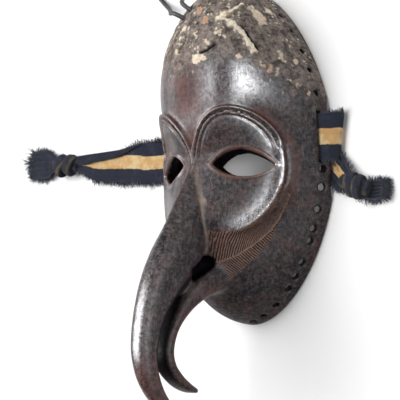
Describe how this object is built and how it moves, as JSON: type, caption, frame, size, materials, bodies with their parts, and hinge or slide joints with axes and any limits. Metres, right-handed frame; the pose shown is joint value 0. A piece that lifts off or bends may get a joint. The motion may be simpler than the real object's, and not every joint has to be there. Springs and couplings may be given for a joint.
{
  "type": "beaked wooden mask",
  "caption": "Hollow carved wooden mask with a long hooked beak, almond eye holes, a drilled rim, knotted striped cloth ties and a hanging cord, lying on its back rim.",
  "frame": {"origin": "middle of the base that the mask and its straps lie on, the cord left out", "axes": "+Z out of the face, +Y towards the crown, +X towards the right of someone facing the mask"},
  "size_m": [0.364, 0.3425, 0.1224],
  "materials": {
    "wood": "dark, rubbed and satin, with a dull crust near the crown",
    "cloth": "matte woven cotton, navy with an ochre stripe",
    "cord": "matte dark cord"
  },
  "bodies": {
    "root": {"mask": "wood", "right_strap": "cloth", "left_strap": "cloth", "hanging_cord": "cord"}
  },
  "joints": []
}
